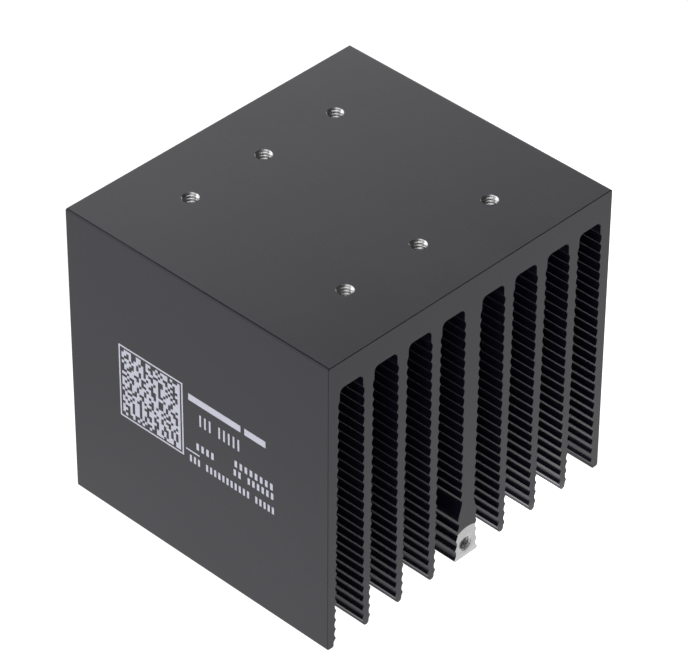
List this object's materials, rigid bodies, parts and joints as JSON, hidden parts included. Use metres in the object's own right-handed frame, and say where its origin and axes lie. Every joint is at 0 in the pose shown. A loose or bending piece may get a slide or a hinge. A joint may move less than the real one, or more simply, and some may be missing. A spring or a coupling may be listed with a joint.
{
  "type": "relay heat sink",
  "caption": "Extruded black-anodised aluminium heat sink for a panel-mount solid state relay, with ribbed fins, tapped relay holes and a drilled foot boss.",
  "frame": {"origin": "under the middle of the part, in the plane of the fin tips", "axes": "+X across the fins, away from the printed side; +Y along the extrusion, towards the back; +Z from the fin tips up to the relay face"},
  "size_m": [0.09, 0.081, 0.0795],
  "materials": {
    "black_anodised": "satin black anodised over fine extrusion lines",
    "bare_aluminium": "bright, freshly machined",
    "marking_ink": "thin matt pale print"
  },
  "bodies": {
    "root": {"heat_sink": "black_anodised", "print_code_panel": "marking_ink", "print_title_bar": "marking_ink", "print_type_bar": "marking_ink", "print_date_bar": "marking_ink", "print_note_bar_upper": "marking_ink", "print_note_bar_lower": "marking_ink", "print_pointer_bar": "marking_ink", "print_bottom_bar": "marking_ink"}
  },
  "joints": []
}
